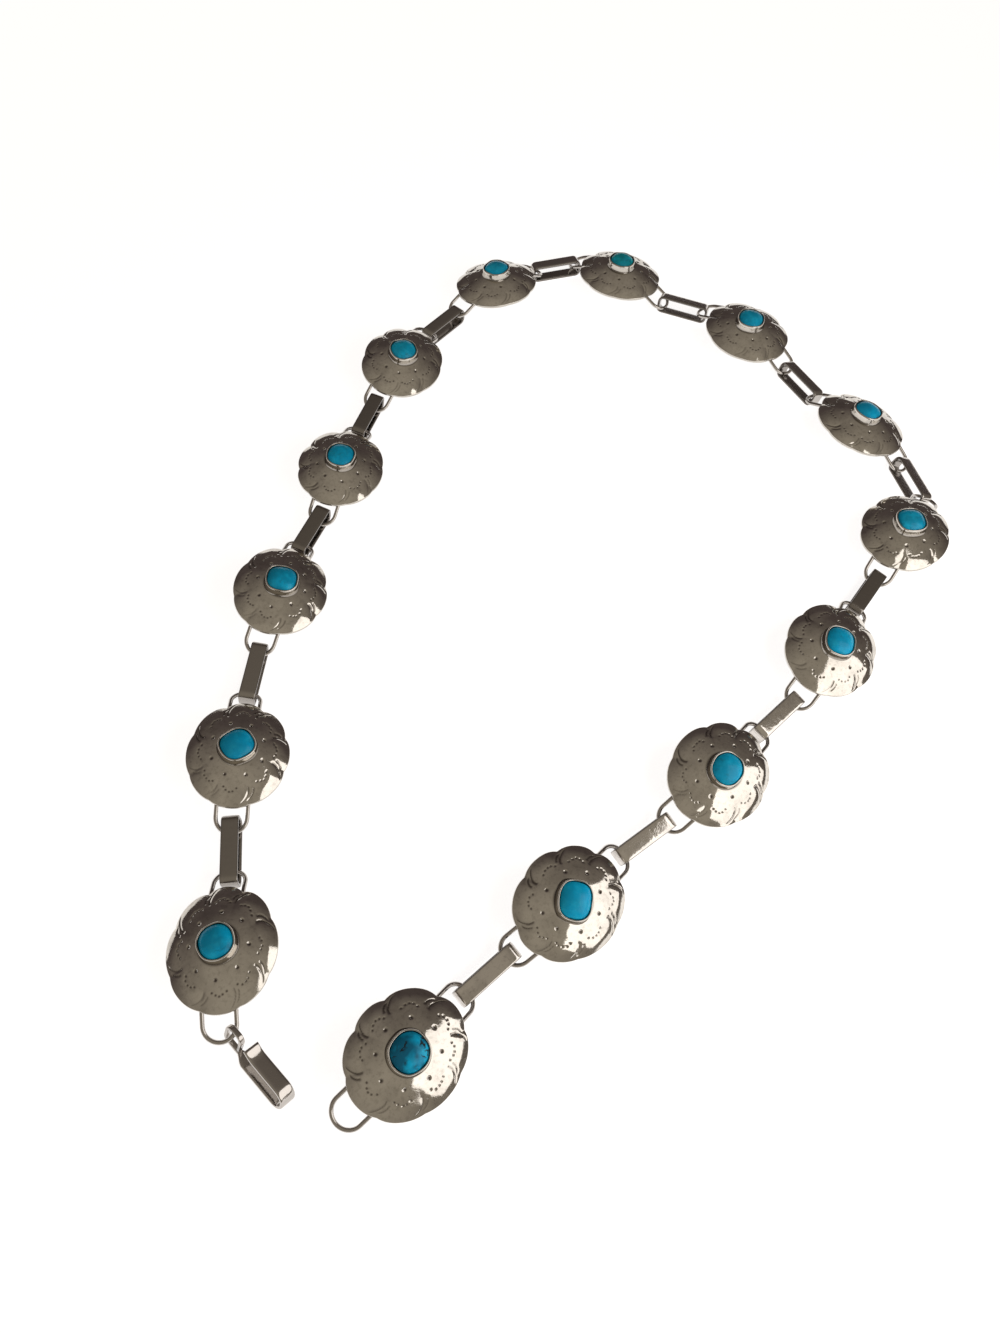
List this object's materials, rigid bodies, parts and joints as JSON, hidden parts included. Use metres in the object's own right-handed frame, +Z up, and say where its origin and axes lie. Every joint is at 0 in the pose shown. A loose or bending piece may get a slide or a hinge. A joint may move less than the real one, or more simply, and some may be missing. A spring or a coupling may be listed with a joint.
{
  "type": "concho belt",
  "caption": "Open metal belt of scalloped domed plates with oval cabochons, joined by strip links, with a hook at one end and a free half-ring at the other.",
  "frame": {"origin": "below the middle of the belt as it lies open, on the plane that it rests on", "axes": "+Z up; +Y towards the closed bend of the belt, away from its two ends; the hook end is on the -X side"},
  "size_m": [0.254, 0.355, 0.0172],
  "materials": {
    "silver": "worn polished silver, darkened in the stamped grooves",
    "link_silver": "rolled silver strip, darker and brushed by wear",
    "turquoise": "polished turquoise with dark matrix"
  },
  "bodies": {
    "root": {"concho_01": "silver", "stone_01": "turquoise", "concho_02": "silver", "stone_02": "turquoise", "concho_03": "silver", "stone_03": "turquoise", "concho_04": "silver", "stone_04": "turquoise", "concho_05": "silver", "stone_05": "turquoise", "concho_06": "silver", "stone_06": "turquoise", "concho_07": "silver", "stone_07": "turquoise", "concho_08": "silver", "stone_08": "turquoise", "concho_09": "silver", "stone_09": "turquoise", "concho_10": "silver", "stone_10": "turquoise", "concho_11": "silver", "stone_11": "turquoise", "concho_12": "silver", "stone_12": "turquoise", "concho_13": "silver", "stone_13": "turquoise", "concho_14": "silver", "stone_14": "turquoise", "link_01": "link_silver", "link_02": "link_silver", "link_03": "link_silver", "link_04": "link_silver", "link_05": "link_silver", "link_06": "link_silver", "link_07": "link_silver", "link_08": "link_silver", "link_09": "link_silver", "link_10": "link_silver", "link_11": "link_silver", "link_12": "link_silver", "link_13": "link_silver", "hook": "link_silver"}
  },
  "joints": []
}
